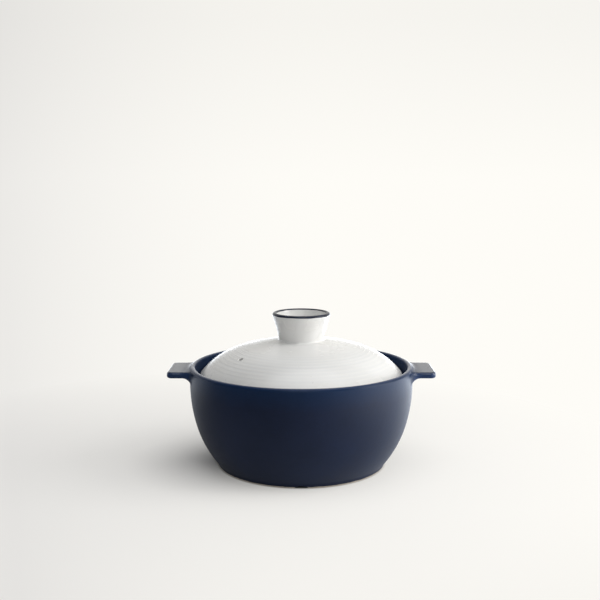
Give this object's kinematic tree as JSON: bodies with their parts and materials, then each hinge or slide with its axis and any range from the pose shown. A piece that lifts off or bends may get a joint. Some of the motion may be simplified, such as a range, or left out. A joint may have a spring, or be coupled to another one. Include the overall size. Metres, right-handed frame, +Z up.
{
  "type": "lidded clay pot",
  "caption": "Low round clay cooking pot with side lug handles and a loose domed lid with a hollow flared knob and a steam hole.",
  "frame": {"origin": "centre of the foot ring, in the plane of the surface that the pot stands on", "axes": "+Z up along the pot's axis; the lug handles lie along X; the front, with the first air notch, faces -Y"},
  "size_m": [0.239, 0.2008, 0.1382],
  "materials": {
    "navy_glaze": "satin navy glaze on stoneware, bare clay under the foot ring",
    "white_glaze": "satin white glaze on stoneware",
    "navy_line": "glossy navy glaze line"
  },
  "bodies": {
    "pot": {"pot_bowl": "navy_glaze", "handle_left": "navy_glaze", "handle_right": "navy_glaze"},
    "lid": {"lid_dome": "white_glaze", "lid_knob": "white_glaze", "knob_rim_glaze": "navy_line"}
  },
  "joints": [
    {"name": "lid_lift", "type": "slide", "parent": "pot", "child": "lid", "axis": [0, 0, 1], "range_m": [0, 0.12]}
  ]
}
